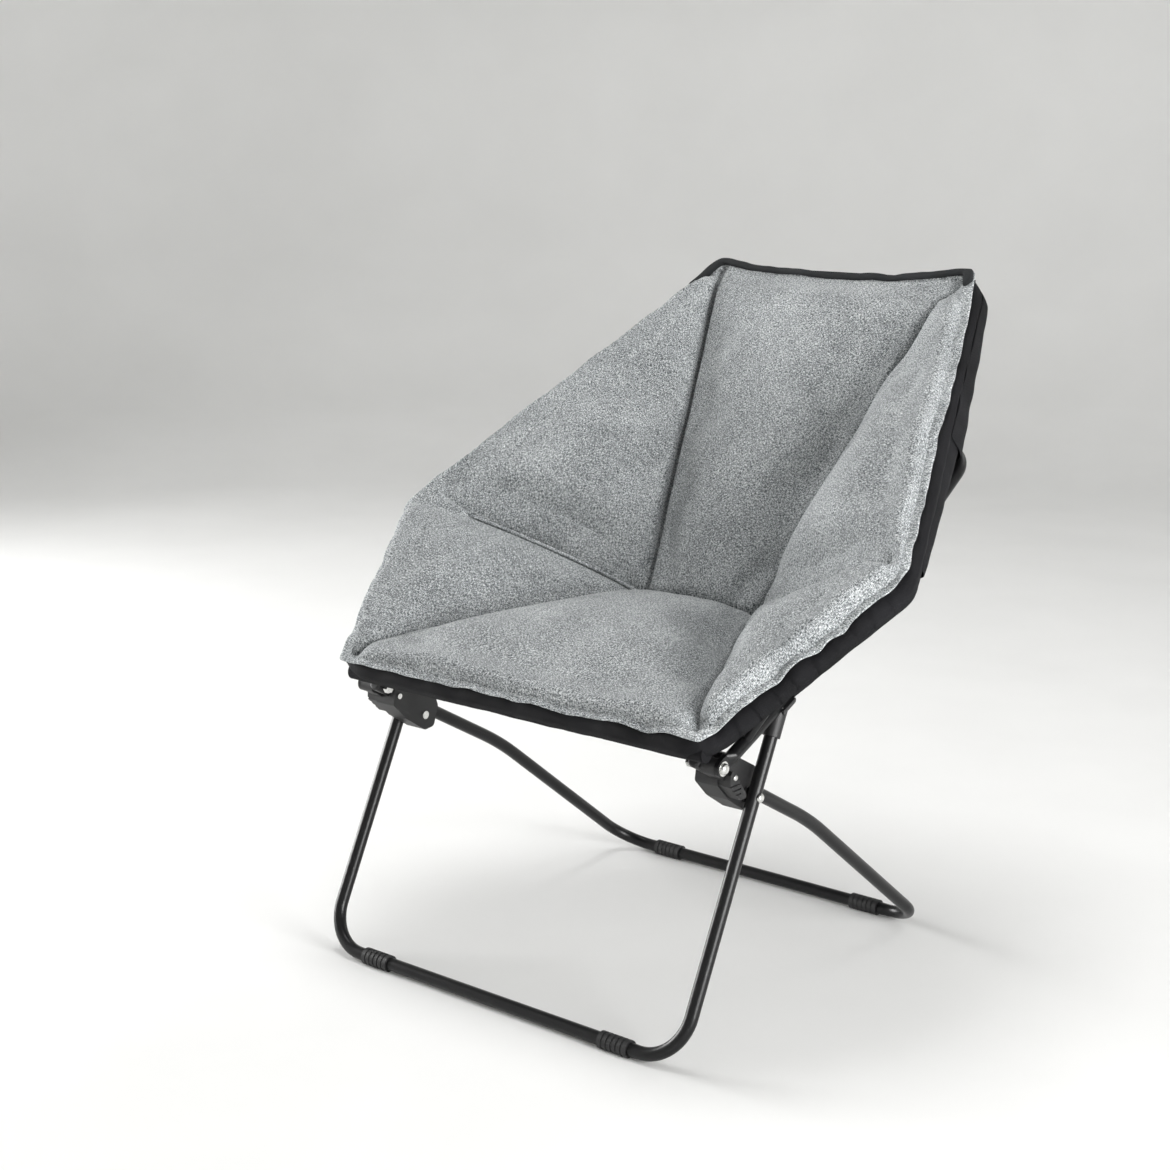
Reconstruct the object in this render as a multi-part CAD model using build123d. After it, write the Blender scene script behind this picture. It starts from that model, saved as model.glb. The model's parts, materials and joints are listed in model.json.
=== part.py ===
from build123d import *
from math import atan2, cos, degrees, radians, sin, sqrt
import os

# Folding hexagon saucer chair, millimetres, +Z up, front towards -Y.
# Side positions are (y, z) pairs with y measured from the front floor bar;
# everything is moved by FRONT_BAR_Y at the end, to centre the footprint.
FRONT_BAR_Y = -362.9

# ---- driving dimensions ----
TUBE_R = 8.0                      # 16 mm steel tube
TUBE_WALL = 1.2
BAR_Z = 9.5                       # floor bars, held up by the foot sleeves
FOOT_R = 10.5                     # worn flat where they meet the floor
FOOT_LEN = 42.0
FOOT_RIBS = 5
FRONT_FOOT_X = 190.0
REAR_FOOT_X = 165.0
POST_Y = 112.0                    # feet of the ring's posts and struts on the arms
STRUT_Y = 300.0

FRONT_LEG_X = 278.0
FRONT_LEG_LEAN = 0.48             # y per z of the straight front arms
LEG_CORNER_R = 55.0

REAR_LEG_X = 249.0
REAR_BAR_Y = 558.5
REAR_BEND = (290.0, 214.0)
REAR_BEND_R = 500.0
REAR_CORNER_R = 50.0

SUPPORT_X = 278.0
SEAT_PIVOT = (70.0, 336.0)        # rear leg top to support frame
SCISSOR_Z = 288.0                 # front leg to rear leg
SUPPORT_BEND = (330.0, 456.0)
BAR_SHARE = 0.537                 # crossbar's place up the back, 0 at the bowl, 1 at the top
BAR_GAP = 27.7                   # crossbar's axis behind the back's seams
SUPPORT_CORNER_R = 45.0
SUPPORT_BEND_R = 300.0
FLAT_LEN = 12.0                   # pressed end of the support arm, from the pivot
NECK_LEN = 10.0
LEG_TOP_GAP = 25.0                # front arm's end below the support arm's axis

SAUCER_FRONT = (26.2, 376.8)      # cushion edge, middle of the front side
SAUCER_TILT = 34.1
FRONT_HALF = 278.6                # half widths of the six-cornered saucer
MIDDLE_HALF = 386.5
TOP_HALF = 204.4
MIDDLE_V = 282.0                  # distances up the slope
TOP_V = 828.0
BOWL_HALF = 90.0                  # the two inner corners of the bowl
BOWL_V = 332.0
BOWL_DEPTH = 177.0

RING_DROP = 28.8                  # ring tube below the cushion's edge
RING_INSET = 6.0
RING_CORNER_R = 42.0
JOINT_V = 345.0                   # where the ring's two halves meet
CUSHION_EDGE = 9.0                # underside of the cushion's rim and bowl
CUSHION_BASE = 19.0
PANEL_CROWNS = [(52.0, 0.75), (48.0, 0.95), (46.0, 0.9)]    # seat, right front, right rear
PANEL_CROWNS += [(50.0, 0.75), (46.0, 0.9), (48.0, 0.95)]   # back, left rear, left front
SLING_T = 2.0
SLEEVE_WALL = 1.6
SOFT_GAP = 0.4
RUN = 0.05                        # radial running clearance of pivots
PIN_R = 3.0
BOLT_R = 4.0

scissor = (FRONT_LEG_LEAN * (SCISSOR_Z - BAR_Z), SCISSOR_Z)
arm_rise = (SUPPORT_BEND[1] - SEAT_PIVOT[1]) / (SUPPORT_BEND[0] - SEAT_PIVOT[0])
saddle_y = FRONT_LEG_LEAN * (SEAT_PIVOT[1] - arm_rise * SEAT_PIVOT[0] - BAR_Z)
saddle_y /= 1 - FRONT_LEG_LEAN * arm_rise
saddle_seat = (saddle_y, SEAT_PIVOT[1] + arm_rise * (saddle_y - SEAT_PIVOT[0]))


# ---- helpers ----
def at(x, yz):
    return Vector(x, yz[0], yz[1])


def toward(a, b, length):
    """The point a given length from a on the way to b, in the side plane."""
    scale = length / sqrt((b[0] - a[0]) ** 2 + (b[1] - a[1]) ** 2)
    return (a[0] + (b[0] - a[0]) * scale, a[1] + (b[1] - a[1]) * scale)


def bent_path(corners, radii):
    """Straight runs joined by tangent bends, one radius for each inner corner."""
    edges = []
    start = corners[0]
    for before, corner, after, r in zip(corners, corners[1:], corners[2:], radii):
        into = (corner - before).normalized()
        out = (after - corner).normalized()
        turn = radians(into.get_angle(out))
        reach = r * sin(turn / 2) / cos(turn / 2)
        bulge = r / cos(turn / 2) - r
        first = corner - into * reach
        last = corner + out * reach
        middle = corner + (out - into).normalized() * bulge
        edges.append(Line(start, first))
        edges.append(ThreePointArc(first, middle, last))
        start = last
    edges.append(Line(start, corners[-1]))
    return Wire([edge.edge() for edge in edges])


def swept(path, outer, inner=0.0):
    section = Circle(outer)
    if inner:
        section -= Circle(inner)
    plane = Plane(origin=path @ 0, z_dir=path % 0)
    return sweep(plane * section, path=path)


def rod_x(yz, r, x0, x1):
    """A round bar along X between two x positions."""
    plane = Plane(origin=at(min(x0, x1), yz), z_dir=(1, 0, 0))
    return extrude(plane * Circle(r), abs(x1 - x0))


def both_sides(solid):
    return [solid, mirror(solid, Plane.YZ)]


def side_plate(outline, x0, x1, r=0.0):
    """A plate cut to a side outline, between two x positions."""
    plane = Plane(origin=(min(x0, x1), 0, 0), x_dir=(0, 1, 0), z_dir=(1, 0, 0))
    face = make_face(Polyline(*outline, close=True))
    if r:
        face = fillet(face.vertices(), r)
    return extrude(plane * face, abs(x1 - x0))


def saucer_point(u, v, w):
    """Saucer coordinates: u across, v up the slope, w out of the bowl."""
    tilt = radians(SAUCER_TILT)
    y = SAUCER_FRONT[0] + v * cos(tilt) - w * sin(tilt)
    z = SAUCER_FRONT[1] + v * sin(tilt) + w * cos(tilt)
    return Vector(u, y, z)


def inset_hexagon(inset):
    """(u, v) of the right corners: front, middle, top, moved in from the edge."""
    lean_front = atan2(MIDDLE_HALF - FRONT_HALF, MIDDLE_V)
    lean_back = atan2(MIDDLE_HALF - TOP_HALF, TOP_V - MIDDLE_V)
    k_front = (1 - sin(lean_front)) / cos(lean_front)
    k_top = (1 - sin(lean_back)) / cos(lean_back)
    half = (lean_front + lean_back) / 2
    middle_in = inset / cos(half) * cos((lean_back - lean_front) / 2)
    front = (FRONT_HALF - inset * k_front, inset)
    middle = (MIDDLE_HALF - middle_in, MIDDLE_V)
    top = (TOP_HALF - inset * k_top, TOP_V - inset)
    return front, middle, top


def bowl_points(inset, w_edge, w_bowl, spread):
    """Corners of one bowl surface: six round the edge, two inner ones."""
    front, middle, top = inset_hexagon(inset)
    edge = [saucer_point(u, v, w_edge) for u, v in (front, middle, top)]
    edge += [Vector(-p.X, p.Y, p.Z) for p in reversed(edge)]
    inner = [saucer_point(s * (BOWL_HALF + spread), BOWL_V, w_bowl) for s in (1, -1)]
    return edge, inner


def bowl_faces(edge, inner):
    fr, mr, tr, tl, ml, fl = edge
    jr, jl = inner
    rings = [(fl, fr, jr, jl), (fr, mr, jr), (mr, tr, jr)]
    rings += [(tr, tl, jl, jr), (tl, ml, jl), (ml, fl, jl)]
    return [list(ring) for ring in rings]


def bowl_solid(upper, lower):
    """A closed shell between two bowl surfaces."""
    faces = [Face(Wire.make_polygon(ring)) for ring in bowl_faces(*upper)]
    faces += [Face(Wire.make_polygon(ring)) for ring in bowl_faces(*lower)]
    top, bottom = upper[0], lower[0]
    for i in range(6):
        j = (i + 1) % 6
        faces.append(Face(Wire.make_polygon([top[i], top[j], bottom[j], bottom[i]])))
    return Solid(Shell(faces))


def back_point(share, gap):
    """A side position behind the back panel, share of the way up its seams."""
    low = saucer_point(0, BOWL_V, -BOWL_DEPTH)
    high = saucer_point(0, TOP_V, 0)
    rise = (high - low).normalized()
    place = low + (high - low) * share + Vector(0, rise.Z, -rise.Y) * gap
    return (place.Y, place.Z)


def on_arm(y):
    """The support arm's axis at one y, on its straight front run."""
    return (y, SEAT_PIVOT[1] + arm_rise * (y - SEAT_PIVOT[0]))


# ---- steel frame ----
def front_leg():
    """Front floor bar with two straight arms, leaning back, ending under the saddles."""
    lean = sqrt(1 + FRONT_LEG_LEAN**2)
    along = (FRONT_LEG_LEAN / lean, 1 / lean)
    base = (0.0, BAR_Z)
    top = (saddle_seat[0] - along[0] * LEG_TOP_GAP, saddle_seat[1] - along[1] * LEG_TOP_GAP)
    x = FRONT_LEG_X
    corners = [at(x, top), at(x, base), at(-x, base), at(-x, top)]
    solid = swept(bent_path(corners, [LEG_CORNER_R] * 2), TUBE_R, TUBE_R - TUBE_WALL)
    for side in (1, -1):
        solid -= rod_x(scissor, PIN_R + RUN, side * (x - 12), side * (x + 12))
    return solid


def rear_leg():
    """Rear floor bar with bowed arms that run up inside the front leg."""
    x = REAR_LEG_X
    end = toward(SEAT_PIVOT, REAR_BEND, -10)
    base = (REAR_BAR_Y, BAR_Z)
    corners = [at(x, end), at(x, REAR_BEND), at(x, base)]
    corners += [at(-x, base), at(-x, REAR_BEND), at(-x, end)]
    radii = [REAR_BEND_R, REAR_CORNER_R, REAR_CORNER_R, REAR_BEND_R]
    solid = swept(bent_path(corners, radii), TUBE_R, TUBE_R - TUBE_WALL)
    for side in (1, -1):
        solid -= rod_x(SEAT_PIVOT, BOLT_R, side * (x - 12), side * (x + 12))
        solid -= rod_x(clamp_screw, PIN_R - 1, side * (x - 12), side * (x + 12))
    return solid


def support_path():
    x = SUPPORT_X
    start = toward(SEAT_PIVOT, SUPPORT_BEND, FLAT_LEN + NECK_LEN)
    bar = back_point(BAR_SHARE, BAR_GAP)
    corners = [at(x, start), at(x, SUPPORT_BEND), at(x, bar)]
    corners += [at(-x, bar), at(-x, SUPPORT_BEND), at(-x, start)]
    radii = [SUPPORT_BEND_R, SUPPORT_CORNER_R, SUPPORT_CORNER_R, SUPPORT_BEND_R]
    return bent_path(corners, radii)


def support_frame():
    """Long U that carries the saucer: pivots at the front, crosses behind the back."""
    x = SUPPORT_X
    solid = swept(support_path(), TUBE_R, TUBE_R - TUBE_WALL)
    for side in (1, -1):
        solid += flattened_end(side)
        solid -= rod_x(SEAT_PIVOT, BOLT_R + RUN, side * (x - 12), side * (x + 12))
    return solid


def flattened_end(side):
    """The arm's pressed end: a tapering neck and a flat eye round the pivot."""
    x = side * SUPPORT_X
    pivot = at(x, SEAT_PIVOT)
    run = (at(x, SUPPORT_BEND) - pivot).normalized()
    neck = [(0, 8.0, 8.0), (0.5, 5.5, 9.3), (1, 2.6, 10.0)]
    sections = []
    for share, half_x, half_w in neck:
        along = FLAT_LEN + NECK_LEN * (1 - share)
        plane = Plane(origin=pivot + run * along, x_dir=(1, 0, 0), z_dir=run)
        sections.append(plane * Ellipse(half_x, half_w))
    taper = loft(sections)
    flat = Plane(origin=at(x - 2.6, SEAT_PIVOT), x_dir=run, z_dir=(1, 0, 0))
    eye = extrude(flat * Circle(10.0), 5.2)
    strap = Pos(FLAT_LEN / 2, 0) * Rectangle(FLAT_LEN, 20)
    return taper + eye + extrude(flat * strap, 5.2)


def ring_path_corners():
    front, middle, top = inset_hexagon(RING_INSET)
    lean = (top[0] - middle[0]) / (top[1] - middle[1])
    joint = (middle[0] + lean * (JOINT_V - MIDDLE_V), JOINT_V)
    return front, middle, top, joint


def ring_path(points):
    right = [saucer_point(u, v, -RING_DROP) for u, v in points]
    left = [Vector(-p.X, p.Y, p.Z) for p in reversed(right)]
    corners = right + left
    return bent_path(corners, [RING_CORNER_R] * (len(corners) - 2))


def ring_half(points):
    return swept(ring_path(points), TUBE_R, TUBE_R - TUBE_WALL)


def ring_joiners():
    """Plugs inside the ring where its two halves meet."""
    front, middle, top, joint = ring_path_corners()
    centre = saucer_point(*joint, -RING_DROP)
    run = (saucer_point(*top, -RING_DROP) - centre).normalized()
    plane = Plane(origin=centre - run * 30, z_dir=run)
    return both_sides(extrude(plane * Circle(TUBE_R - TUBE_WALL - 0.1), 60))


def ring_posts():
    """Short front posts that hold the ring over the support arms."""
    low = at(SUPPORT_X, on_arm(POST_Y))
    front, middle, top, joint = ring_path_corners()
    share = 0.33
    u = front[0] + (middle[0] - front[0]) * share
    v = front[1] + (middle[1] - front[1]) * share
    high = saucer_point(u, v, -RING_DROP)
    return post(low, high, 5.0)


def ring_struts():
    """Side struts from the support arms out to the ring's middle corners."""
    low = at(SUPPORT_X, on_arm(STRUT_Y))
    front, middle, top, joint = ring_path_corners()
    high = saucer_point(middle[0] - 9, middle[1] + 2, -RING_DROP - 1)
    return post(low, high, 4.5)


def post(low, high, r):
    """A round post between the two tubes, its ends coped to their skins."""
    run = (high - low).normalized()
    bar = extrude(Plane(origin=low, z_dir=run) * Circle(r), (high - low).length)
    bar -= swept(support_path(), TUBE_R)
    front, middle, top, joint = ring_path_corners()
    bar -= swept(ring_path([joint, middle, front]), TUBE_R)
    return both_sides(bar)


# ---- brackets, saddles, fasteners ----
clamp_screw = (88.0, 322.0)
bracket_edge = REAR_LEG_X + TUBE_R + 0.2


def bracket():
    """Moulded clamp round the rear arm's top: seat pivot in front, scissor pivot below."""
    x = REAR_LEG_X
    outer = SUPPORT_X + 6
    eye_face = SUPPORT_X - 2.9
    outline = [(84.0, 348.0), (104.0, 343.0), (150.0, 318.0), (158.0, 296.0)]
    outline += [(150.0, 270.0), (134.0, 268.0), (100.0, 290.0), (78.0, 312.0)]
    face = FRONT_LEG_X - TUBE_R - 0.4
    body = side_plate(outline, x - 13, face - 2.6, 6.0)
    body += rod_x(scissor, 9.0, x, face)
    block = [(80.0, 326.0), (84.0, 331.0), (89.5, 326.0), (109.0, 300.0)]
    block += [(111.0, 294.0), (100.0, 293.0), (80.0, 312.0)]
    body += side_plate(block, x, outer, 2.0)
    body += rod_x(SEAT_PIVOT, 10.0, bracket_edge, eye_face)
    lug = [(62.0, 330.0), (66.0, 345.0), (76.0, 344.0), (84.0, 332.0), (84.0, 316.0)]
    body += side_plate(lug, bracket_edge, eye_face)
    for z in (300.0, 306.0, 312.0):
        groove = [(60.0, z), (60.0, z + 2.0), (100.0, z + 2.0), (100.0, z)]
        body -= side_plate(groove, outer - 1.5, outer + 5)
    start = toward(SEAT_PIVOT, REAR_BEND, -30)
    arm = bent_path([at(x, start), at(x, REAR_BEND), at(x, (REAR_BAR_Y, BAR_Z))], [REAR_BEND_R])
    body -= swept(arm, TUBE_R)
    body -= rod_x(SEAT_PIVOT, BOLT_R, bracket_edge - 5, outer + 2)
    body -= rod_x(scissor, PIN_R, x - 20, x + 40)
    body -= rod_x(clamp_screw, PIN_R - 1, x - 20, x + 40)
    return body


def saddle():
    """Cup on the front arm's top that the support arm rests in."""
    run = (at(0, SUPPORT_BEND) - at(0, SEAT_PIVOT)).normalized()
    lean = sqrt(1 + FRONT_LEG_LEAN**2)
    down = Vector(0, -FRONT_LEG_LEAN / lean, -1 / lean)
    centre = at(FRONT_LEG_X, saddle_seat)
    plane = Plane(origin=centre - run * 13, x_dir=(1, 0, 0), z_dir=run)
    upward = 1 if plane.y_dir.Z > 0 else -1
    cup = extrude(plane * Circle(TUBE_R + 4.5), 26)
    cup -= extrude(plane * Pos(0, 20 * upward) * Rectangle(60, 40), 26)
    below = Plane(origin=centre, z_dir=down)
    cup += extrude(below.offset(6) * Circle(TUBE_R + 2.5), LEG_TOP_GAP + 9)
    cup -= extrude(plane.offset(-40) * Circle(TUBE_R + 0.3), 110)
    cup -= extrude(below.offset(LEG_TOP_GAP) * Circle(TUBE_R), 60)
    cup = cup.solids().sort_by(SortBy.VOLUME)[-1]
    return cup + extrude(below.offset(LEG_TOP_GAP - 4) * Circle(5.5), 24)


def dome_head(yz, x, side, r, height):
    """A rounded fastener head standing on a plane facing outwards along X."""
    head = rod_x(yz, r, x, x + side * height)
    rims = head.edges().filter_by(GeomType.CIRCLE).sort_by(Axis.X)
    return fillet(rims[-1 if side > 0 else 0], height * 0.8)


def scissor_rivets():
    outer = FRONT_LEG_X + TUBE_R
    inner = REAR_LEG_X - 13
    pin = rod_x(scissor, PIN_R, inner, outer)
    pin += dome_head(scissor, outer, 1, 5.5, 3.6)
    pin += rod_x(scissor, 5.2, inner - 2.2, inner)
    return both_sides(pin)


def pivot_bolts():
    outer = SUPPORT_X + 2.7
    inner = REAR_LEG_X - TUBE_R - 1.5
    bolt = rod_x(SEAT_PIVOT, BOLT_R, inner - 6, outer)
    bolt += rod_x(SEAT_PIVOT, 8.5, outer, outer + 1.2)
    bolt += dome_head(SEAT_PIVOT, outer + 1.2, 1, 6.5, 4.2)
    return both_sides(bolt)


def pivot_nuts():
    inner = REAR_LEG_X - TUBE_R - 1.5
    plane = Plane(origin=at(inner - 6, SEAT_PIVOT), x_dir=(0, 1, 0), z_dir=(1, 0, 0))
    nut = extrude(plane * RegularPolygon(6.5, 6), 6)
    nut -= rod_x(SEAT_PIVOT, BOLT_R, inner - 8, inner + 2)
    return both_sides(nut)


def clamp_screws():
    outer = SUPPORT_X + 6
    screw = rod_x(clamp_screw, PIN_R - 1, REAR_LEG_X - 15, outer)
    screw += dome_head(clamp_screw, outer, 1, 3.6, 2.4)
    screw += rod_x(clamp_screw, 3.6, REAR_LEG_X - 15, REAR_LEG_X - 13)
    return both_sides(screw)


def rear_caps():
    """Rounded plugs in the open tops of the rear arms."""
    end = toward(SEAT_PIVOT, REAR_BEND, -10)
    run = (at(0, end) - at(0, REAR_BEND)).normalized()
    plane = Plane(origin=at(REAR_LEG_X, end), z_dir=run)
    cap = extrude(plane * Circle(TUBE_R), 3)
    rim = cap.edges().filter_by(GeomType.CIRCLE).sort_by(Axis.Z)[-1]
    cap = fillet(rim, 2.4)
    cap += extrude(plane.offset(-5) * Circle(TUBE_R - TUBE_WALL - 0.05), 5)
    return both_sides(cap)


def foot_sleeves(bar_y, x_centre):
    """Ribbed plastic sleeves on a floor bar."""
    yz = (bar_y, BAR_Z)
    start = x_centre - FOOT_LEN / 2
    sleeve = rod_x(yz, FOOT_R, start, start + FOOT_LEN)
    pitch = FOOT_LEN / (FOOT_RIBS + 1)
    for i in range(FOOT_RIBS):
        x = start + pitch * (i + 1)
        groove = rod_x(yz, FOOT_R + 1, x - 1.2, x + 1.2)
        sleeve -= groove - rod_x(yz, FOOT_R - 0.6, x - 1.2, x + 1.2)
    sleeve -= rod_x(yz, TUBE_R, start - 1, start + FOOT_LEN + 1)
    floor = Pos(x_centre, bar_y, -10) * Box(FOOT_LEN + 4, 40, 20)
    return both_sides(sleeve - floor)


# ---- cloth ----
def sling():
    """Black sling: a bowl of cloth with a sleeve round the ring and two corner pockets."""
    skin = SOFT_GAP
    upper = bowl_points(3, -CUSHION_EDGE - skin, -BOWL_DEPTH - CUSHION_BASE - skin, 8)
    skin += SLING_T
    lower = bowl_points(3, -CUSHION_EDGE - skin, -BOWL_DEPTH - CUSHION_BASE - skin, 9)
    cloth = bowl_solid(upper, lower)
    front, middle, top, joint = ring_path_corners()
    right = [saucer_point(u, v, -RING_DROP) for u, v in (front, middle, top)]
    left = [Vector(-p.X, p.Y, p.Z) for p in reversed(right)]
    start = (left[-1] + right[0]) * 0.5
    path = bent_path([start] + right + left + [start], [RING_CORNER_R] * 6)
    cloth += swept(path, TUBE_R + SOFT_GAP + SLEEVE_WALL)
    for pocket in corner_pockets():
        cloth += pocket
    above = bowl_points(3, 60, -BOWL_DEPTH + 60, 8)
    cloth -= bowl_solid(above, upper)
    for hole in ring_posts() + ring_struts():
        cloth -= hole
    return cloth - swept(path, TUBE_R + SOFT_GAP)


def corner_pockets():
    """Doubled cloth over the ring's two top corners."""
    front, middle, top, joint = ring_path_corners()
    corner = saucer_point(*top, -RING_DROP - 3)
    side = saucer_point(*middle, -RING_DROP - 3)
    across = Vector(-corner.X, corner.Y, corner.Z)
    start = corner + (side - corner).normalized() * 185
    end = corner + (across - corner).normalized() * 80
    path = bent_path([start, corner, end], [RING_CORNER_R])
    return both_sides(swept(path, TUBE_R + SOFT_GAP + 2 * SLEEVE_WALL))


def pillow(ring, crown, inset):
    """One stuffed panel: a rounded crown rising from the seams."""
    face = Face(Wire.make_polygon(ring))
    normal = face.normal_at()
    if normal.Z < 0:
        normal = normal * -1
    centre = face.center()
    sections = [Face(Wire.make_polygon([p - normal * 4 for p in ring]))]
    for angle in (0, 25, 50, 70, 90):
        height = crown * sin(radians(angle))
        shrink = inset * (1 - cos(radians(angle)))
        moved = [p + (centre - p) * shrink + normal * height for p in ring]
        sections.append(Face(Wire.make_polygon(moved)))
    return loft(sections, ruled=True)


def cushion():
    """Padded bowl cushion: six stuffed panels on one quilted base."""
    upper = bowl_points(3, -2, -BOWL_DEPTH - 2, 0)
    lower = bowl_points(3, -CUSHION_EDGE, -BOWL_DEPTH - CUSHION_BASE, 8)
    body = bowl_solid(upper, lower)
    for ring, (crown, inset) in zip(bowl_faces(*upper), PANEL_CROWNS):
        body += pillow(ring, crown, inset)
    return body - top_binding()


def top_binding():
    """Dark piping along the cushion's top edge."""
    front, middle, top = inset_hexagon(0)
    u, v = top
    right = saucer_point(u - 1, v - 2, -5)
    left = Vector(-right.X, right.Y, right.Z)
    over = saucer_point(0, v + 4, -5)
    path = Wire([ThreePointArc(right, over, left).edge()])
    return swept(path, 4.0)


# ---- export ----
front, middle, top, joint = ring_path_corners()
nodes = {
    "front_leg": front_leg(),
    "rear_leg": rear_leg(),
    "support_frame": support_frame(),
    "ring_front_half": ring_half([joint, middle, front]),
    "ring_back_half": ring_half([joint, top]),
    "ring_joiners": ring_joiners(),
    "ring_posts": ring_posts(),
    "ring_struts": ring_struts(),
    "bracket_right": bracket(),
    "bracket_left": mirror(bracket(), Plane.YZ),
    "saddle_right": saddle(),
    "saddle_left": mirror(saddle(), Plane.YZ),
    "scissor_rivets": scissor_rivets(),
    "pivot_bolts": pivot_bolts(),
    "pivot_nuts": pivot_nuts(),
    "clamp_screws": clamp_screws(),
    "rear_leg_caps": rear_caps(),
    "front_foot_sleeves": foot_sleeves(0.0, FRONT_FOOT_X),
    "rear_foot_sleeves": foot_sleeves(REAR_BAR_Y, REAR_FOOT_X),
    "sling": sling(),
    "cushion": cushion(),
    "top_binding": top_binding(),
}

os.makedirs("parts", exist_ok=True)
shift = Location((0, FRONT_BAR_Y, 0))
for name, shape in nodes.items():
    solids = []
    for piece in shape if isinstance(shape, list) else [shape]:
        solids += piece.solids()
    moved = [solid.moved(shift) for solid in solids]
    whole = moved[0] if len(moved) == 1 else Compound(moved)
    whole.label = name
    export_step(whole, f"parts/{name}.step")
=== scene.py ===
# %% [markdown]
# # Folding hexagon saucer chair
# A bowl of black cloth hangs in a six-cornered steel ring, a grey padded cushion
# lies in the bowl, and two bent-tube legs cross under it like scissors. The steel
# and its fittings come ready from the CAD frame. Here we dress them with finishes
# and model every soft piece: the cushion, its bindings, the sling and its sleeves.

# %% Load the frame
import json
import math

import bmesh
import bpy
from mathutils import Matrix, Vector, noise


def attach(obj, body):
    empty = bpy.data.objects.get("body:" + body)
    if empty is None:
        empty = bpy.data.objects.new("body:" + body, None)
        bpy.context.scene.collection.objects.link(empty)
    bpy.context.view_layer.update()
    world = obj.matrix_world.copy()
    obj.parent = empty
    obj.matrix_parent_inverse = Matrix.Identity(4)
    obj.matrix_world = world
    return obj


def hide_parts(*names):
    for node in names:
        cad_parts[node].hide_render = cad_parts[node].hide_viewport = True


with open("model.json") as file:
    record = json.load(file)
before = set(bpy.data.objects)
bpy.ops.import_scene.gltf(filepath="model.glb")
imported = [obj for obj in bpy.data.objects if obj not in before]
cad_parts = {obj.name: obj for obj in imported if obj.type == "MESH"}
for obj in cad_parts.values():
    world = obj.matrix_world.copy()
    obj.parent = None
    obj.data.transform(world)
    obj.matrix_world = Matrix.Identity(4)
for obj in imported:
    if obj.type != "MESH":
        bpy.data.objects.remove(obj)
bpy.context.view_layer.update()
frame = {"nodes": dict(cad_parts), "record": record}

# %% [markdown]
# ## Camera
# The camera stands where the photograph was taken: its turn, tilt and lens were
# worked out from the straight tubes and the six corners of the seat.

# %% Camera
CAMERA_PLACE = (1.58567, -2.09117, 1.02398)
CAMERA_YAW = 39.894
CAMERA_TILT = 77.712
CAMERA_ROLL = 0.282
CAMERA_LENS = 65.01
CAMERA_SENSOR = 36.0


def add_camera():
    data = bpy.data.cameras.new("camera")
    data.lens = CAMERA_LENS
    data.sensor_width = CAMERA_SENSOR
    camera = bpy.data.objects.new("camera", data)
    turn = Matrix.Rotation(math.radians(CAMERA_YAW), 4, "Z")
    turn = turn @ Matrix.Rotation(math.radians(CAMERA_TILT), 4, "X")
    turn = turn @ Matrix.Rotation(math.radians(CAMERA_ROLL), 4, "Z")
    camera.matrix_world = Matrix.Translation(CAMERA_PLACE) @ turn
    bpy.context.scene.collection.objects.link(camera)
    bpy.context.scene.camera = camera
    return camera


print("camera at", add_camera().matrix_world.translation)

# %% [markdown]
# ## Materials
# Every finish is a small node tree. A few helpers keep the trees short: one starts
# a material, one adds a node with its values, one joins two sockets.

# %% Material helpers


def new_material(name, colour, rough, metal=0.0):
    material = bpy.data.materials.new(name)
    material.use_nodes = True
    shader = material.node_tree.nodes["Principled BSDF"]
    shader.inputs["Base Color"].default_value = (*colour, 1)
    shader.inputs["Roughness"].default_value = rough
    shader.inputs["Metallic"].default_value = metal
    return material, shader


def add_node(material, kind, **values):
    node = material.node_tree.nodes.new(kind)
    for name, value in values.items():
        if name in node.inputs:
            node.inputs[name].default_value = value
        else:
            setattr(node, name, value)
    return node


def link(material, out, into):
    material.node_tree.links.new(out, into)


def scaled_coordinates(material, scale, output="Object"):
    coordinates = add_node(material, "ShaderNodeTexCoord")
    mapping = add_node(material, "ShaderNodeMapping", Scale=scale)
    link(material, coordinates.outputs[output], mapping.inputs["Vector"])
    return mapping.outputs["Vector"]


def noise_texture(material, scale, output="Object", detail=3.0):
    texture = add_node(material, "ShaderNodeTexNoise", Scale=1.0, Detail=detail)
    link(material, scaled_coordinates(material, scale, output), texture.inputs["Vector"])
    return texture.outputs["Fac"]


def colour_ramp(material, value, stops):
    ramp = add_node(material, "ShaderNodeValToRGB")
    elements = ramp.color_ramp.elements
    while len(elements) < len(stops):
        elements.new(0.5)
    for element, (place, colour) in zip(elements, stops):
        element.position = place
        element.color = (*colour, 1)
    link(material, value, ramp.inputs["Fac"])
    return ramp.outputs["Color"]


def add_bump(material, shader, height, strength, distance):
    bump = add_node(material, "ShaderNodeBump", Strength=strength, Distance=distance)
    link(material, height, bump.inputs["Height"])
    link(material, bump.outputs["Normal"], shader.inputs["Normal"])


def math_node(material, operation, a, b):
    node = add_node(material, "ShaderNodeMath", operation=operation)
    for socket, value in zip(node.inputs, (a, b)):
        if isinstance(value, (int, float)):
            socket.default_value = value
        else:
            link(material, value, socket)
    return node.outputs["Value"]


# %% [markdown]
# ### Heathered grey cloth
# The cushion's cover is woven from mixed light and dark yarns, so close up it is
# speckled, with short streaks both ways. A picture of cloth would show its tiling,
# so we use noise. Two noises stretched along the cushion's own UV map make the
# streaks, a coarser one the lie of the nap, and a broad one the clouds of worn cloth.

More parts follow.
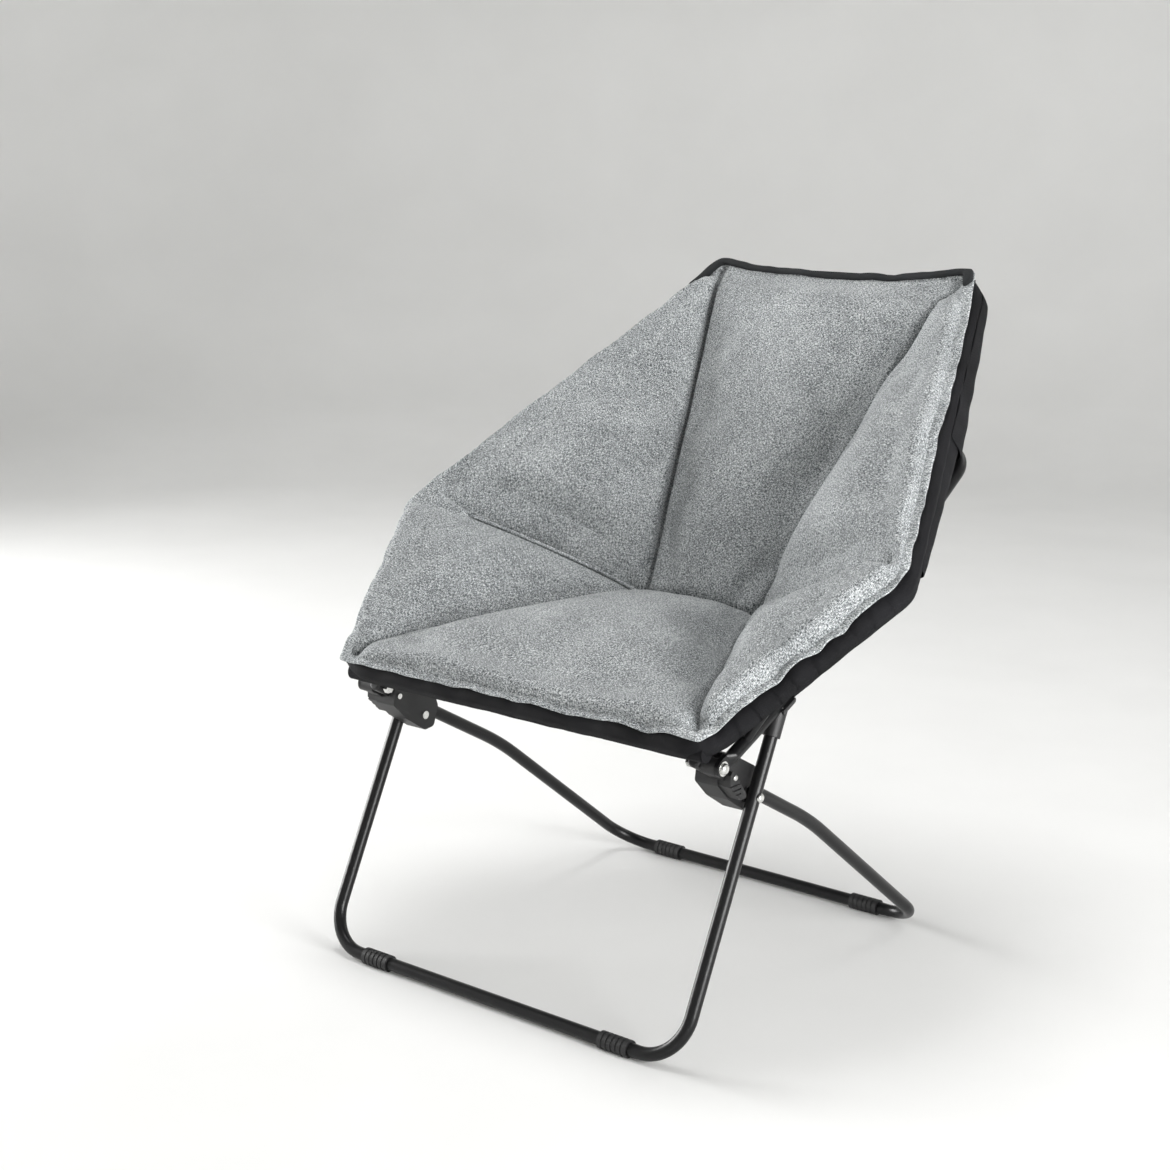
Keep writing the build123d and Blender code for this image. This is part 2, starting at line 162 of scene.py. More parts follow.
# %% Grey cloth
GREY = (0.31, 0.32, 0.322)
YARN_ALONG = 340
YARN_ACROSS = 1050
CLOUD_SCALE = (11, 11, 11)
NAP_SCALE = (150, 60, 150)
CLOUD_SHARE = 0.10
NAP_SHARE = 0.10
YARN_TONES = [
    (0.49, (0.035, 0.039, 0.042)),
    (0.60, (0.225, 0.240, 0.246)),
    (0.72, (0.66, 0.68, 0.685)),
]
CUSHION_BRIGHT = 1.03
# The flange cloth is the cushion's grey made lighter: a painted highlight on the raised flange
# and the welts.
FLANGE_TONE_AND_PAINTED_HIGHLIGHT = 1.2


def grey_cloth(name, output, bright):
    material, shader = new_material(name, GREY, rough=0.93)
    weft = noise_texture(material, (YARN_ALONG, YARN_ACROSS, YARN_ACROSS), output, detail=2.0)
    warp = noise_texture(material, (YARN_ACROSS, YARN_ALONG, YARN_ACROSS), output, detail=2.0)
    clouds = noise_texture(material, CLOUD_SCALE, output, detail=4.0)
    nap = noise_texture(material, NAP_SCALE, output, detail=2.0)
    threads = math_node(material, "ADD", weft, warp)
    threads = math_node(material, "MULTIPLY", threads, 0.5)
    tint = math_node(material, "MULTIPLY", clouds, CLOUD_SHARE)
    value = math_node(material, "ADD", threads, tint)
    lie = math_node(material, "MULTIPLY", nap, NAP_SHARE)
    value = math_node(material, "ADD", value, lie)
    # bright scales the yarn tones: the cushion's own level, and for the flange a painted
    # highlight on top of it.
    stops = [(place, tuple(bright * c for c in tone)) for place, tone in YARN_TONES]
    link(material, colour_ramp(material, value, stops), shader.inputs["Base Color"])
    add_bump(material, shader, threads, strength=0.3, distance=0.0005)
    shader.inputs["Sheen Weight"].default_value = 0.15
    shader.inputs["Sheen Roughness"].default_value = 0.5
    shader.inputs["Specular IOR Level"].default_value = 0.2
    return material


grey = grey_cloth("heathered_grey_cloth", "UV", CUSHION_BRIGHT)
# This lighter copy of the grey cloth is a painted highlight for the flange and the welts.
flange_cloth_painted_highlight = grey_cloth("grey_flange_cloth_painted_highlight", "Object", FLANGE_TONE_AND_PAINTED_HIGHLIGHT)
print(grey.name, len(grey.node_tree.nodes), "nodes")

# %% [markdown]
# ### Black cloth
# The sling and the top binding are tight black polyester. Its basket weave is a
# product of two fine wave patterns; the threads show only where light grazes them.

# %% Black cloth
SLING_BLACK = (0.0055, 0.0055, 0.0065)
TAPE_BLACK = (0.017, 0.018, 0.019)
WEAVE_SCALE = (260, 260, 260)
WEAR_SCALE = (14, 14, 14)
WORN_DARK = 0.7
WORN_LIGHT = 1.7


def black_cloth(name, colour, output):
    material, shader = new_material(name, colour, rough=0.8)
    height = None
    for direction in ("X", "Y"):
        wave = add_node(material, "ShaderNodeTexWave", Scale=1.0, Distortion=0.6)
        wave.bands_direction = direction
        vector = scaled_coordinates(material, WEAVE_SCALE, output)
        link(material, vector, wave.inputs["Vector"])
        if height is None:
            height = wave.outputs["Fac"]
        else:
            height = math_node(material, "MULTIPLY", height, wave.outputs["Fac"])
    wear = noise_texture(material, WEAR_SCALE, output, detail=4.0)
    dark = tuple(WORN_DARK * c for c in colour)
    light = tuple(WORN_LIGHT * c for c in colour)
    stops = [(0.3, dark), (0.7, light)]
    link(material, colour_ramp(material, wear, stops), shader.inputs["Base Color"])
    add_bump(material, shader, height, strength=0.4, distance=0.0006)
    shader.inputs["Specular IOR Level"].default_value = 0.18
    return material


sling_cloth = black_cloth("black_sling_cloth", SLING_BLACK, "Object")
tape_cloth = black_cloth("dark_binding_tape", TAPE_BLACK, "Object")
print(sling_cloth.name, tape_cloth.name)

# %% [markdown]
# ### Powder-coated steel
# The tubes are satin black with the fine orange-peel of baked powder. A small
# noise moves the surface, and a larger one lets the gloss drift along the tube.

# %% Powder coat
STEEL_BLACK = (0.0065, 0.0065, 0.007)
PEEL_SCALE = (420, 420, 420)
DRIFT_SCALE = (7, 7, 7)
SMOOTHEST = 0.24
ROUGHEST = 0.36


def powder_coat():
    material, shader = new_material("black_powder_coat", STEEL_BLACK, rough=0.34)
    peel = noise_texture(material, PEEL_SCALE)
    drift = noise_texture(material, DRIFT_SCALE)
    rough = add_node(material, "ShaderNodeMapRange")
    rough.inputs["To Min"].default_value = SMOOTHEST
    rough.inputs["To Max"].default_value = ROUGHEST
    shader.inputs["Specular IOR Level"].default_value = 0.3
    link(material, drift, rough.inputs["Value"])
    link(material, rough.outputs["Result"], shader.inputs["Roughness"])
    add_bump(material, shader, peel, strength=0.25, distance=0.0004)
    return material


steel = powder_coat()
print(steel.name)

# %% [markdown]
# ### Moulded plastic and zinc
# Brackets, saddles and foot sleeves are dull black plastic with a light spark
# texture. Rivets and bolts are bright zinc, a little uneven from the tumbling drum.

# %% Plastic and zinc
PLASTIC_BLACK = (0.008, 0.008, 0.0085)
PLASTIC_TONES = [(0.35, (0.006, 0.006, 0.0065)), (0.7, (0.014, 0.014, 0.0145))]
SPARK_SCALE = (900, 900, 900)
PATCH_SCALE = (30, 30, 30)
ZINC_GREY = (0.72, 0.72, 0.71)
ZINC_TONES = [(0.3, (0.55, 0.55, 0.54)), (0.7, (0.8, 0.8, 0.78))]
TUMBLE_SCALE = (260, 260, 260)


def moulded_plastic():
    material, shader = new_material("black_moulded_plastic", PLASTIC_BLACK, rough=0.5)
    grain = noise_texture(material, SPARK_SCALE)
    add_bump(material, shader, grain, strength=0.3, distance=0.0003)
    patches = noise_texture(material, PATCH_SCALE)
    tone = colour_ramp(material, patches, PLASTIC_TONES)
    link(material, tone, shader.inputs["Base Color"])
    return material


def zinc_plate():
    material, shader = new_material("bright_zinc", ZINC_GREY, rough=0.25, metal=1.0)
    marks = noise_texture(material, TUMBLE_SCALE)
    tone = colour_ramp(material, marks, ZINC_TONES)
    link(material, tone, shader.inputs["Base Color"])
    add_bump(material, shader, marks, strength=0.15, distance=0.0003)
    return material


plastic = moulded_plastic()
zinc = zinc_plate()
print(plastic.name, zinc.name)

# %% [markdown]
# ## Finishes on the CAD pieces
# The frame's nodes already have the right shape, so each only gets its finish.

# %% Dress the frame
FINISHES = {
    "black_steel": steel,
    "black_plastic": plastic,
    "zinc_fastener": zinc,
    "black_cloth": sling_cloth,
    "grey_cloth": grey,
    "dark_binding": tape_cloth,
}
for part in frame["record"]["subparts"]:
    mesh = frame["nodes"][part["node"]].data
    mesh.materials.clear()
    mesh.materials.append(FINISHES[part["material_slot"]])

# %% [markdown]
# ## The bowl's outline
# The soft pieces all follow one outline: a tilted hexagon with two inner corners
# at the bottom of the bowl. Places are given in the saucer's own directions: u
# across the chair, v up the slope, w out of the bowl.

# %% Saucer outline
FRONT_BAR_Y = -0.3629
SAUCER_FRONT = (0.0262, 0.3768)
SAUCER_TILT = math.radians(34.1)
FRONT_HALF = 0.2786
MIDDLE_HALF = 0.3865
TOP_HALF = 0.2044
MIDDLE_V = 0.282
TOP_V = 0.828
BOWL_HALF = 0.090
BOWL_V = 0.332
BOWL_DEPTH = 0.177
across = Vector((1, 0, 0))
upslope = Vector((0, math.cos(SAUCER_TILT), math.sin(SAUCER_TILT)))
outward = Vector((0, -math.sin(SAUCER_TILT), math.cos(SAUCER_TILT)))
saucer_origin = Vector((0, FRONT_BAR_Y + SAUCER_FRONT[0], SAUCER_FRONT[1]))


def saucer_point(u, v, w):
    return saucer_origin + across * u + upslope * v + outward * w


def rim_corners(inset, w):
    """Six corners, anticlockwise seen from above, from the front right one."""
    half = [(FRONT_HALF - inset, inset), (MIDDLE_HALF - inset, MIDDLE_V)]
    half += [(TOP_HALF - inset, TOP_V - inset)]
    points = [saucer_point(u, v, w) for u, v in half]
    return points + [saucer_point(-u, v, w) for u, v in reversed(half)]


def bowl_corners(w):
    return [saucer_point(side * BOWL_HALF, BOWL_V, w) for side in (1, -1)]


PANELS = {
    "seat": (5, 0, 6, 7),
    "right_front": (0, 1, 6),
    "right_rear": (1, 2, 6),
    "back": (2, 3, 7, 6),
    "left_rear": (3, 4, 7),
    "left_front": (4, 5, 7),
}
print("panels", list(PANELS))

# %% [markdown]
# Real edges are never ruler-straight: the stitching draws the rim into shallow
# scallops, deeper ones on the right, and the top edge hangs a little between its
# corners. One function gives the pull at any place, so that the cushion, its flange
# and its binding stay together.

# %% Pulled rim
RIM_REACH = 0.07
TOP_SAG = 0.020
SCALLOP = 0.0055
PUCKER = 0.0095
CORNER_REACH = 0.028
CORNER_PULL = 0.005
NOTCH_REACH = 0.016
NOTCH_PULL = 0.006
SLOW_WAVE = 15
SLOW_SHIFT = Vector((3, 7, 1))
SLOW_GAIN = 1.6
SLOW_REST = 0.45
QUICK_WAVE = 42
QUICK_LIFT = 0.0012
SAG_REACH = 0.12
CORNER_ACROSS = 0.59
CORNER_DOWN = 0.81


def rim_pull(point):
    slow = noise.noise(point * SLOW_WAVE + SLOW_SHIFT)
    quick = noise.noise(point * QUICK_WAVE)
    gather = PUCKER if point.x > BOWL_HALF else SCALLOP
    lift = gather * (SLOW_GAIN * abs(slow) - SLOW_REST) + QUICK_LIFT * quick
    across_top = max(0.0, 1 - (point.x / TOP_HALF) ** 2)
    height = (point - saucer_origin).dot(upslope)
    near_top = max(0.0, min(1.0, (height - TOP_V + SAG_REACH) / SAG_REACH))
    pull = outward * lift - upslope * TOP_SAG * across_top * near_top
    for side in (1, -1):
        to_corner = point - saucer_point(side * TOP_HALF, TOP_V, 0)
        near = max(0.0, 1 - to_corner.length / CORNER_REACH)
        inwards = (-across * side * CORNER_ACROSS - upslope * CORNER_DOWN)
        pull += inwards * CORNER_PULL * near ** 2
        to_middle = point - saucer_point(side * MIDDLE_HALF, MIDDLE_V, 0)
        near = max(0.0, 1 - to_middle.length / NOTCH_REACH)
        pull -= across * side * NOTCH_PULL * near
    return pull


print("pull at the top", rim_pull(saucer_point(0, TOP_V, 0)))

# %% [markdown]
# ## The cushion
# On the real chair six stuffed panels are sewn together along deep seams, and a
# bound edge closes them to the backing. We build the six panels as flat faces,
# divide them finely, and blow them up with a cloth simulation while the seams and
# the edge are pinned, so that the folds gather at the stitching as they do in life.

# %% Cushion blank
CUTS = 40
EDGE_W = -0.002
PAD_INSET = 0.009
PAD_BASE = 0.002


def cushion_blank():
    bm = bmesh.new()
    points = rim_corners(PAD_INSET, EDGE_W) + bowl_corners(-BOWL_DEPTH - PAD_BASE)
    verts = [bm.verts.new(point) for point in points]
    for ring in PANELS.values():
        bm.faces.new([verts[i] for i in ring])
    bmesh.ops.subdivide_edges(bm, edges=bm.edges[:], cuts=CUTS, use_grid_fill=True)
    bmesh.ops.recalc_face_normals(bm, faces=bm.faces[:])
    if bm.faces[0].normal.z < 0:
        bmesh.ops.reverse_faces(bm, faces=bm.faces[:])
    return bm, points


blank, blank_corners = cushion_blank()
print("cushion blank", len(blank.verts), "points", len(blank.faces), "faces")

# %% [markdown]
# Much of the cushion depends on how far a place is from the stitching, so the seams
# and the rim are listed once, as pairs of corners that a short function measures to.

# %% Seam distances


def to_segment(point, a, b):
    run = b - a
    share = max(0.0, min(1.0, (point - a).dot(run) / run.length_squared))
    return (point - a - run * share).length


def seam_segments(points):
    pairs = set()
    for ring in PANELS.values():
        for i, j in zip(ring, ring[1:] + ring[:1]):
            pairs.add((min(i, j), max(i, j)))
    return [(points[i], points[j]) for i, j in sorted(pairs)]


segments = seam_segments(blank_corners)
rim_segments = [(blank_corners[i], blank_corners[(i + 1) % 6]) for i in range(6)]
print("seams and edges", len(segments), "rim", len(rim_segments))

# %% [markdown]
# Each panel starts with a low crown, so that the pressure has a shape to push on.
# A few millimetres of slow noise keep the two sides from being perfect twins.

# %% Shape and close the blank
CROWNS = {"seat": 0.026, "back": 0.022, "right_front": 0.034, "left_front": 0.032,
          "right_rear": 0.031, "left_rear": 0.032}
CROWN_REACH = 0.080
WANDER = 0.004
WANDER_SCALE = 9
SKIN = 0.0075
ON_SEAM = 1e-5


def crown(point):
    near = min(to_segment(point, a, b) for a, b in segments)
    share = min(near / CROWN_REACH, 1.0)
    return near, math.sqrt(1 - (1 - share) ** 2)


def panel_axes():
    """Of each panel: its first corner, the ways along and up it, and its normal."""
    axes = {}
    for name, ring in PANELS.items():
        a, b, c = (blank_corners[i] for i in ring[:3])
        along = (b - a).normalized()
        normal = along.cross(c - a).normalized()
        axes[name] = (a, along, normal.cross(along), normal)
    return axes


def shape_blank(bm):
    axes = panel_axes()
    normals = [vert.normal.copy() for vert in bm.verts]
    for vert, normal in zip(bm.verts, normals):
        near, rise = crown(vert.co)
        near_rim = min(to_segment(vert.co, a, b) for a, b in rim_segments)
        hold = max(0.0, 1 - near_rim / RIM_REACH) ** 2
        pull = rim_pull(vert.co) * hold
        wander = noise.noise(vert.co * WANDER_SCALE) * WANDER
        panel = max(axes, key=lambda name: abs(axes[name][3].dot(normal)))
        if near > ON_SEAM:
            vert.co += normal * (CROWNS[panel] + wander) * rise
        vert.co += pull


def close_blank(bm):
    top = bm.faces[:]
    copy = bmesh.ops.duplicate(bm, geom=bm.verts[:] + bm.edges[:] + top)
    lower = [item for item in copy["geom"] if isinstance(item, bmesh.types.BMVert)]
    faces = [item for item in copy["geom"] if isinstance(item, bmesh.types.BMFace)]
    for vert in lower:
        vert.co -= outward * SKIN
    bmesh.ops.reverse_faces(bm, faces=faces)
    rim = [edge for edge in bm.edges if edge.is_boundary]
    bmesh.ops.bridge_loops(bm, edges=rim)
    bmesh.ops.recalc_face_normals(bm, faces=bm.faces[:])
    return len(lower)


# %% [markdown]
# The stitched points stay where they are while the cushion fills. The outer ends of
# the two side seams are left loose, because there the real cloth bunches freely.
# The flat blank's places and directions are kept, to measure every swell from.

# %% Pin the stitching and close
LOOSE_END = 0.075
side_corners = [blank_corners[1], blank_corners[4]]


def is_sewn(vert):
    """On a seam or the rim, but not on the loose outer end of a side seam."""
    if vert.is_boundary:
        return True
    loose = any((vert.co - corner).length < LOOSE_END for corner in side_corners)
    return crown(vert.co)[0] < ON_SEAM and not loose


blank.verts.index_update()
flat_places = [vert.co.copy() for vert in blank.verts]
flat_normals = [vert.normal.copy() for vert in blank.verts]
pinned = {vert.index for vert in blank.verts if is_sewn(vert)}
rim_points = {vert.index for vert in blank.verts if vert.is_boundary}
upper_count = len(blank.verts)
shape_blank(blank)
print("points of the lower skin", close_blank(blank))
print("pinned seam points", len(pinned), "of", upper_count)

# %% [markdown]
# Stuffing pushes the cloth out until the stitching holds it, and a cloth simulation
# with pressure inside does the same. It runs without gravity: only the pressure and
# the slack of the cloth act. A cap keeps every point near where it started.

# %% Blow the cushion up
CLOTH = {
    "pin_stiffness": 50,
    "quality": 6,
    "mass": 0.3,
    "tension_stiffness": 12,
    "compression_stiffness": 12,
    "shear_stiffness": 6,
    "bending_stiffness": 14,
    "shrink_min": -0.035,
    "use_pressure": True,
    "uniform_pressure_force": 10.0,
}
FRAMES = 26
CAP = 0.040
STILL = 1e-9


def place_mesh(name, mesh, material):
    for polygon in mesh.polygons:
        polygon.use_smooth = True
    mesh.materials.clear()
    mesh.materials.append(material)
    obj = bpy.data.objects.new(name, mesh)
    bpy.context.scene.collection.objects.link(obj)
    return obj


def make_object(name, bm, material):
    mesh = bpy.data.meshes.new(name)
    bm.to_mesh(mesh)
    bm.free()
    return place_mesh(name, mesh, material)


def simulate(obj, fixed):
    group = obj.vertex_groups.new(name="sewn")
    group.add(fixed, 1.0, "REPLACE")
    cloth = obj.modifiers.new("cloth", "CLOTH")
    cloth.settings.vertex_group_mass = "sewn"
    for name, value in CLOTH.items():
        setattr(cloth.settings, name, value)
    cloth.settings.effector_weights.gravity = 0
    cloth.collision_settings.use_collision = False
    cloth.point_cache.frame_start = 1
    cloth.point_cache.frame_end = FRAMES
    scene = bpy.context.scene
    for number in range(1, FRAMES + 1):
        scene.frame_set(number)
    graph = bpy.context.evaluated_depsgraph_get()
    blown = bpy.data.meshes.new_from_object(obj.evaluated_get(graph))
    starts = [vert.co.copy() for vert in obj.data.vertices]
    ends = [vert.co.copy() for vert in blown.vertices]
    obj.modifiers.remove(cloth)
    bpy.data.meshes.remove(blown)
    scene.frame_set(1)
    furthest = 0.0
    for vert, start, end in zip(obj.data.vertices, starts, ends):
        move = end - start
        furthest = max(furthest, move.length)
        if move.length > STILL:
            vert.co = start + move.normalized() * CAP * math.tanh(move.length / CAP)
    return furthest


cushion = make_object("padded_cushion", blank, grey)
fixed_points = sorted(pinned) + list(range(upper_count, len(cushion.data.vertices)))
print("furthest move", round(simulate(cushion, fixed_points), 4))

# %% [markdown]
# The simulation leaves more small wrinkles than this thick cloth shows. Moving each
# free point towards the middle of its neighbours irons them out and keeps the swell.

# %% Iron out the wrinkles
CALM_ROUNDS = 8
CALM_SHARE = 0.5


def calm(mesh, movable, rounds):
    """Irons out the small wrinkles: each free point moves towards its neighbours' middle."""
    around = {index: [] for index in movable}
    for edge in mesh.edges:
        a, b = edge.vertices
        if a in around:
            around[a].append(b)
        if b in around:
            around[b].append(a)
    for _ in range(rounds):
        middles = {}
        for index, others in around.items():
            total = sum((mesh.vertices[other].co for other in others), Vector())
            middles[index] = total / len(others)
        for index, middle in middles.items():
            mesh.vertices[index].co = mesh.vertices[index].co.lerp(middle, CALM_SHARE)


free_points = set(range(upper_count)) - pinned
calm(cushion.data, free_points, CALM_ROUNDS)
print("free points", len(free_points))

# %% [markdown]
# Between each arm and the side of the back the front panel lies over the rear one,
# so the seam rides up as a ridge with a shaded dip behind it. A simulation of two
# overlapping skins would be slow, so we shape the ridge from each point's place
# along the seam and its distance from it.

# %% Find places beside a side seam
SIDE_SEAMS = {"right": (1, 6), "left": (4, 7)}


def beside_side_seam(place):
    """(side, outer end, share of the seam's length, the step from the seam)."""
    side = "right" if place.x > 0 else "left"
    outer, inner = (blank_corners[i] for i in SIDE_SEAMS[side])
    run = inner - outer
    share = (place - outer).dot(run) / run.length_squared
    return side, outer, share, place - outer - run * share


for side, (outer, inner) in SIDE_SEAMS.items():
    print(side, "side seam", round((blank_corners[inner] - blank_corners[outer]).length, 3))

# %% [markdown]
# First the front panels are eased down beside the seam, most of all right at it, so
# that its welt will show.

# %% Ease the front panels
EASE_REACH = 0.09
EASE_SHARE = 0.5


def ease_front_panels(mesh, movable):
    eased = 0
    for index in sorted(movable):
        place = flat_places[index]
        aside = beside_side_seam(place)[3]
        if aside.length >= EASE_REACH or aside.dot(upslope) >= 0 or abs(place.x) <= BOWL_HALF:
            continue
        vert = mesh.vertices[index]
        vert.co -= (vert.co - place) * EASE_SHARE * (1 - aside.length / EASE_REACH)
        eased += 1
    return eased


print("eased beside the side seams", ease_front_panels(cushion.data, free_points))

# %% [markdown]
# Then the seam and the cloth in front of it rise and the cloth behind it sinks. The
# right ridge stays high to its outer end. The left one fades at both ends, and the
# rear panel puffs up a little at the left corner, as in the photograph.

# %% Raise the side seams
RIDGES = {"right": 0.028, "left": 0.018}
RIDGE_REACH = 0.075
RIDGE_END = 0.12
RIDGE_FADE = 0.6
DIP_REACH = 0.085
PUFF = 0.012
PUFF_REACH = 0.07
TUCK_SHARE = 0.5


def ridge_height(side, share):
    """How high the ridge is at this share of the seam, as a part of its full height."""
    if side == "right":
        return min(1.0, share / RIDGE_END) * math.sqrt(1 - share)
    return math.sin(math.pi * share) ** RIDGE_FADE


def puff_left_corner(vert, normal, gap, behind):
    if gap < PUFF_REACH:
        puff = PUFF * (1 - gap / PUFF_REACH)
        vert.co += normal * (puff if behind else -TUCK_SHARE * puff)


def raise_side_seams(mesh):
    raised = 0
    for index in sorted(set(range(upper_count)) - rim_points):
        place, normal = flat_places[index], flat_normals[index]
        side, outer, share, aside = beside_side_seam(place)
        if not 0 < share < 1 or abs(place.x) < BOWL_HALF:
            continue
        vert = mesh.vertices[index]
        behind = aside.dot(upslope) > ON_SEAM
        if side == "left":
            puff_left_corner(vert, normal, (place - outer).length, behind)
        reach = DIP_REACH if behind else RIDGE_REACH
        if aside.length >= reach:
            continue
        fade = (1 - aside.length / reach) * ridge_height(side, share)
        if behind:
            vert.co -= (vert.co - place) * fade
        else:
            vert.co += normal * RIDGES[side] * fade
        raised += 1
    return raised


print("raised beside the side seams", raise_side_seams(cushion.data))

# %% [markdown]
# The seams are the darkest lines of the whole chair, because the panels swell over
# them. Sinking them deep would push them through the sling, so we sink the stitching
# only a few millimetres and draw the rows of points beside it together, which leaves
# a narrow dark slot. Each kind of stitching has its own slot. At the rim the cloth
# even hangs over the flange, and along the top it keeps clear of the tape.

# %% Kinds of stitching
SEAM_ENDS = {
    "back": ((2, 6), (3, 7)),
    "seat": ((0, 6), (5, 7), (6, 7)),
    "side": ((1, 6), (4, 7)),
}
SEAM_DEPTHS = {"back": 0.006, "seat": 0.006, "side": 0.001}
SLOT_HALF = {
    "back": (0.0038, 0.0050, 0.0080),
    "seat": (0.0022, 0.0048),
    "side": (0.0026, 0.0060),
    "rim": (0.0002, -0.0034, 0.0024),
    "top": (0.0040, 0.0110),
}
RIM_GATHER = 0.0030
GATHER_SCALE = 30
GATHER_GAIN = 2.0
GATHER_REST = 0.3
ON_EDGE = 1e-4


def seam_kind(place):
    """Which seam a stitched point lies on: beside the back, the seat or between the arms."""
    def gap(kind):
        ends = [(blank_corners[i], blank_corners[j]) for i, j in SEAM_ENDS[kind]]
        return min(to_segment(place, a, b) for a, b in ends)
    return min(SEAM_ENDS, key=gap)


def stitching_kind(index):
    """The kind of a stitched point: one of the seams, the top edge or the rest of the rim."""
    place = flat_places[index]
    if index not in rim_points:
        return seam_kind(place)
    on_top = to_segment(place, blank_corners[2], blank_corners[3]) < ON_EDGE
    return "top" if on_top else "rim"


def slot_half(kind, row, place):
    """How far from the stitching a row comes to lie. Below zero it hangs over."""
    half = SLOT_HALF[kind][row]
    if kind == "rim" and row == 1:
        gather = abs(noise.noise(place * GATHER_SCALE))
        half += RIM_GATHER * (GATHER_GAIN * gather - GATHER_REST)
    return half


print("kinds of stitching", list(SLOT_HALF))

# %% [markdown]
# The slots are made row by row: the points one edge away from the stitching, then
# the points one edge further, three rows in all. Every point remembers the stitched
# point that it grew from. The stitched edges are creased, so that the smoothing
# keeps the bottom of the slot sharp.

# %% Draw the seams down
SLOT_ROWS = 3
RIM_TUCK = 0.85
TOP_TUCK = (0.65, 0.40, 0.20)
SEAM_CREASE = 0.9


def neighbours_of(mesh, chosen, barred):
    """Each point one edge away from the chosen ones, with the chosen point it touches."""
    found = {}
    for edge in mesh.edges:
        a, b = edge.vertices
        for here, there in ((a, b), (b, a)):
            if here in chosen and there not in barred:
                found.setdefault(there, here)
    return found


def draw_in(verts, index, rooted, row):
    """The move that brings one point of a row in over its stitched point."""
    kind = stitching_kind(rooted)
    behind = (flat_places[index] - flat_places[rooted]).dot(upslope) > 0
    if kind == "top":
        rise = verts[index].co - flat_places[index]
        verts[index].co -= rise * TOP_TUCK[row]
    move = Vector()
    if row >= len(SLOT_HALF[kind]) or (kind == "side" and not behind):
        return move
    level = flat_normals[rooted]
    reach = verts[rooted].co - verts[index].co
    height = -reach.dot(level)
    reach += level * height
    half = slot_half(kind, row, flat_places[rooted])
    if reach.length > half:
        move = reach * (1 - half / reach.length)
    if kind == "rim" and row == 0:
        move -= level * height * RIM_TUCK
    return move


def draw_seams(mesh):
    """Sinks the stitched points and draws the swollen cloth in over them."""
    mesh.update()
    verts = mesh.vertices
    root = {index: index for index in pinned}
    chosen = set(pinned)
    barred = set(pinned) | set(range(upper_count, len(verts)))
    moves = {}
    for row in range(SLOT_ROWS):
        row_points = neighbours_of(mesh, chosen, barred)
        for index, inner in row_points.items():
            root[index] = root[inner]
            moves[index] = draw_in(verts, index, root[index], row)
        chosen = set(row_points)
        barred |= chosen
    for index, move in sorted(moves.items()):
        verts[index].co += move
    for index in sorted(pinned - rim_points):
        depth = SEAM_DEPTHS[seam_kind(flat_places[index])]
        verts[index].co -= flat_normals[index] * depth
    return len(moves)


def crease_seams(mesh):
    crease = mesh.attributes.new("crease_edge", "FLOAT", "EDGE")
    stitched = [edge.index for edge in mesh.edges if all(v in pinned for v in edge.vertices)]
    for index in stitched:
        crease.data[index].value = SEAM_CREASE
    return len(stitched)


print("points beside the seams", draw_seams(cushion.data))
print("creased edges", crease_seams(cushion.data))

# %% [markdown]
# The weave needs a flat pattern that follows each panel, so every face gets UV
# places measured in metres along its own panel, as the cloth was cut. One step of
# smoothing is left to the renderer.

# %% Cushion UV map


def unwrap(obj):
    axes = list(panel_axes().values())
    layer = obj.data.uv_layers.new(name="cut")
    for polygon in obj.data.polygons:
        best = max(range(6), key=lambda i: abs(polygon.normal.dot(axes[i][3])))
        start, along, up, _ = axes[best]
        for loop in polygon.loop_indices:
            point = obj.data.vertices[obj.data.loops[loop].vertex_index].co - start
            layer.data[loop].uv = (point.dot(along) + best, point.dot(up) + best)


def soften(obj):
    smooth = obj.modifiers.new("smooth", "SUBSURF")
    smooth.levels = 1
    smooth.render_levels = 1


unwrap(cushion)
soften(cushion)
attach(cushion, "saucer")
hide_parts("cushion")
print("cushion faces", len(cushion.data.polygons))

# %% [markdown]
# ## Edge flange and top binding
# The cushion's faces are joined by a flat doubled seam that stands out all round
# like a thin ribbon, and the top edge is closed with dark tape. A curve with a flat
# section would twist at the corners, so each ribbon is a skin through rows of points
# along the pulled rim, thickened afterwards.

# %% Rim line
RIM_STEPS = 60


def rim_line(first, last, inset, w):
    """Points along the pulled rim from one corner to a later one."""
    corners = rim_corners(inset, w)
    points = []
    for i in range(first, last):
        a, b = corners[i % 6], corners[(i + 1) % 6]
        for step in range(RIM_STEPS):
            points.append(a.lerp(b, step / RIM_STEPS))
    points.append(corners[last % 6])
    return [point + rim_pull(point) for point in points]


print("points round the rim", len(rim_line(0, 6, 0.0, EDGE_W)))

# %% [markdown]
# Thin round things, the welts and later the sleeves, are curves with a round section.
# They are made in the saucer's own directions, which keeps their faces in line with
# it, and are turned into meshes at once.

# %% Tube helper
WELT_SIDES = 2
saucer_frame = Matrix((across, upslope, outward)).transposed().to_4x4()
saucer_frame.translation = saucer_origin


def curve_mesh(name, points, material, radius, sides):
    """A closed round tube along points."""
    data = bpy.data.curves.new(name, "CURVE")
    data.dimensions = "3D"
    data.twist_mode = "Z_UP"
    data.bevel_depth = radius
    data.bevel_resolution = sides
    data.use_fill_caps = True
    spline = data.splines.new("POLY")
    spline.points.add(len(points) - 1)
    inverse = saucer_frame.inverted()
    for target, point in zip(spline.points, points):
        target.co = (*(inverse @ point), 1)
    holder = bpy.data.objects.new(name, data)
    bpy.context.scene.collection.objects.link(holder)
    graph = bpy.context.evaluated_depsgraph_get()
    mesh = bpy.data.meshes.new_from_object(holder.evaluated_get(graph))
    bpy.data.objects.remove(holder)
    mesh.transform(saucer_frame)
    return place_mesh(name, mesh, material)


print("saucer's way out", [round(value, 3) for value in outward])

# %% [markdown]
# Ribbons and loose cloth are skins: each row of points is bridged to the next one.
# Every piece of cloth rides on the saucer, which is the body that swings.

# %% Skin helpers


